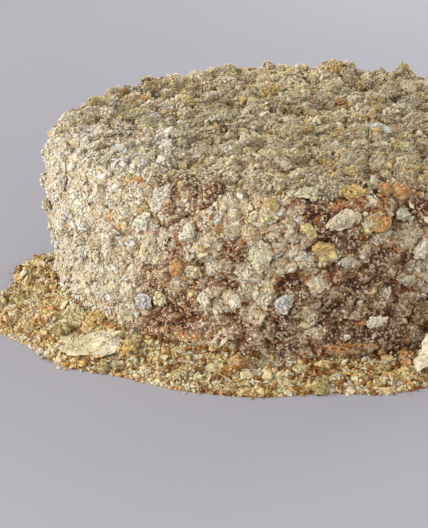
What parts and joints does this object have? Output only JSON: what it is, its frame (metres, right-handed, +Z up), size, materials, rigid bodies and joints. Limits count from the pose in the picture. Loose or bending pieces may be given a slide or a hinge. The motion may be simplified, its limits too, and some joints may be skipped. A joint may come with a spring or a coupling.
{
  "type": "mille-feuille cake",
  "caption": "Whole round mille-feuille cake with a rounded rim, coated in pastry crumbs and flakes, with loose crumbs banked round its foot and two large pastry shards on them.",
  "frame": {"origin": "centre of the cake's flat round base, on its axis", "axes": "+Z up along the cake's axis; -Y is the front, the side that the picture shows; +X is to the right in the picture"},
  "size_m": [0.2559, 0.2545, 0.0819],
  "materials": {
    "crumb_coat": "dry, rough coat of pale ivory to golden pastry crumbs and flakes over brown cream and pastry",
    "loose_crumbs": "dry, rough heap of loose golden pastry crumbs",
    "pastry_shard": "thin, dry, pale yellow baked puff pastry"
  },
  "bodies": {
    "root": {"cake": "crumb_coat", "crumb_bank": "loose_crumbs", "shard_left": "pastry_shard", "shard_right": "pastry_shard"}
  },
  "joints": []
}
